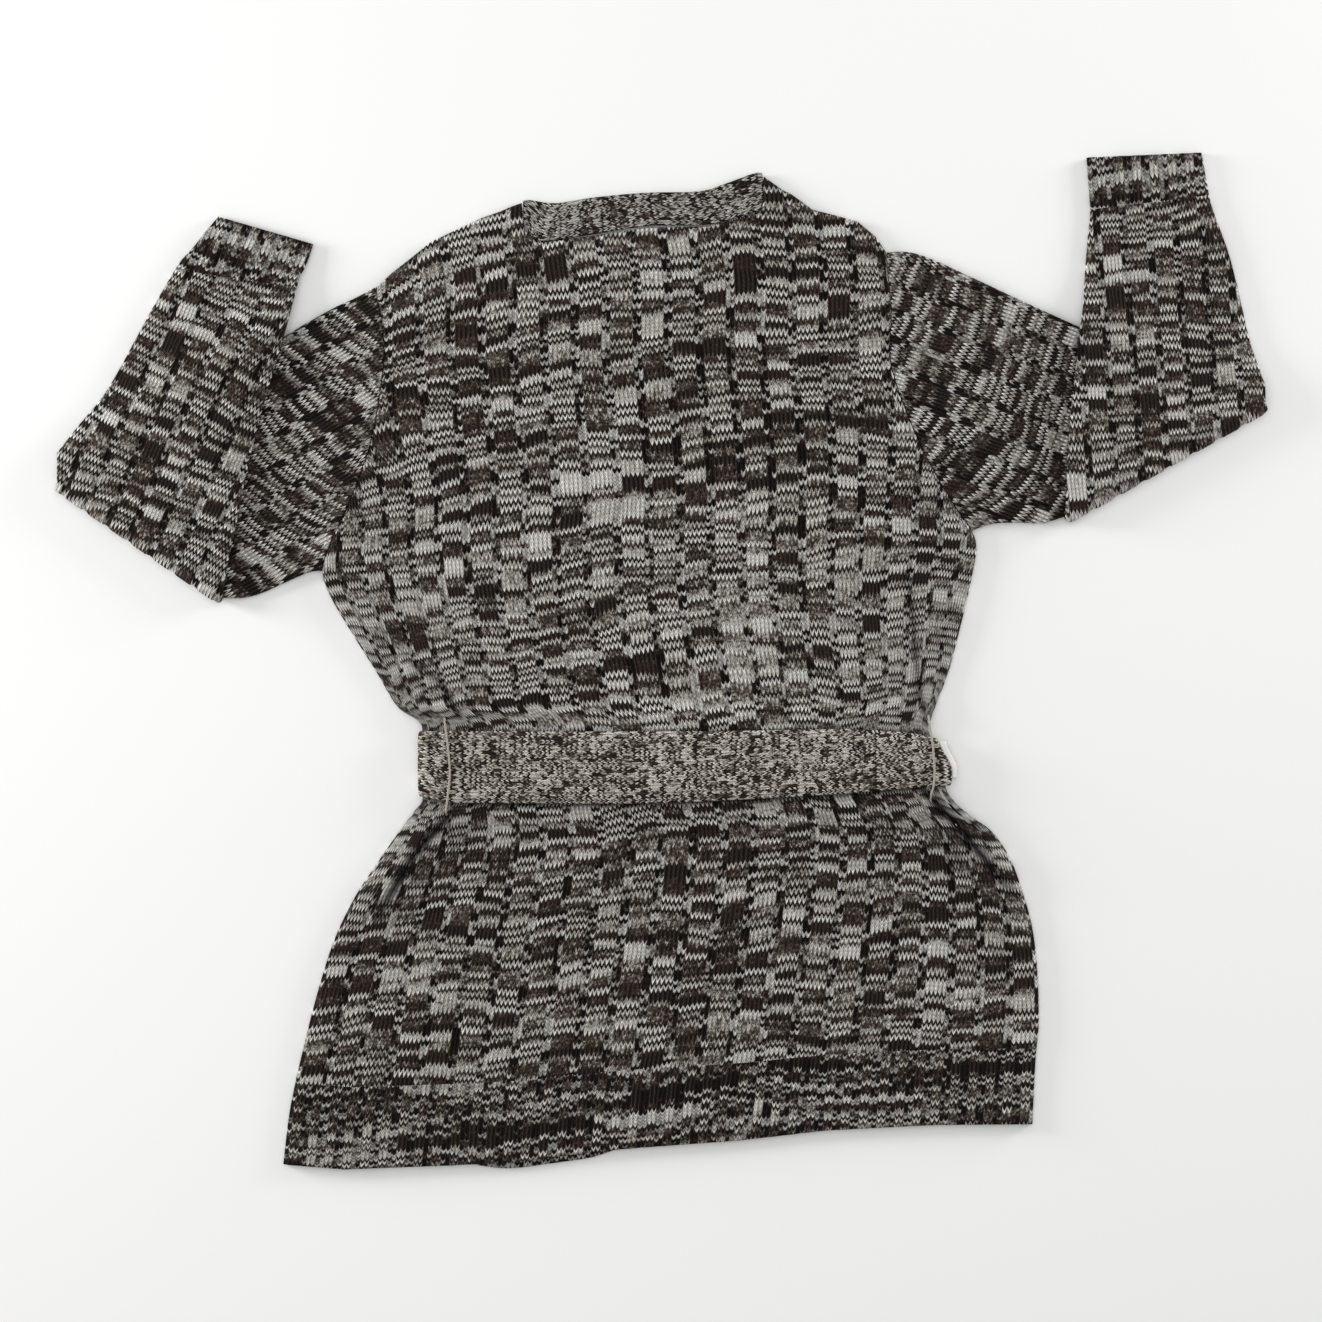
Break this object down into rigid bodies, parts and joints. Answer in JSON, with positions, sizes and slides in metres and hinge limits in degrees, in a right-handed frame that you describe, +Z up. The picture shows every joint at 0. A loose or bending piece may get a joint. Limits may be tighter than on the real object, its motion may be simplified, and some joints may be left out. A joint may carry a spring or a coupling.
{
  "type": "belted rib-knit cardigan lying flat on its front",
  "caption": "Long-sleeved belted cardigan in marled wide-rib knit, laid face down with its sleeves folded up at the elbow and its tie belt round the waist.",
  "frame": {"origin": "under the middle of the garment's outline, on the surface that it lies on", "axes": "+X to the wearer's right, across the garment and along its longest extent; +Y from hem to neck; +Z up, out of the back"},
  "size_m": [0.9674, 0.8119, 0.0157],
  "materials": {
    "marl_knit": "bulky marled wool-acrylic rib knit, dark brown and grey-white",
    "belt_knit": "finer marled knit, brown and beige",
    "loop_thread": "pale sewing thread chain",
    "label_satin": "blank white satin tape"
  },
  "bodies": {
    "root": {"back": "marl_knit", "front_left": "marl_knit", "front_right": "marl_knit", "sleeve_left": "marl_knit", "sleeve_right": "marl_knit", "neck_band": "marl_knit", "belt": "belt_knit", "belt_loop_left": "loop_thread", "belt_loop_right": "loop_thread", "side_label": "label_satin"}
  },
  "joints": []
}
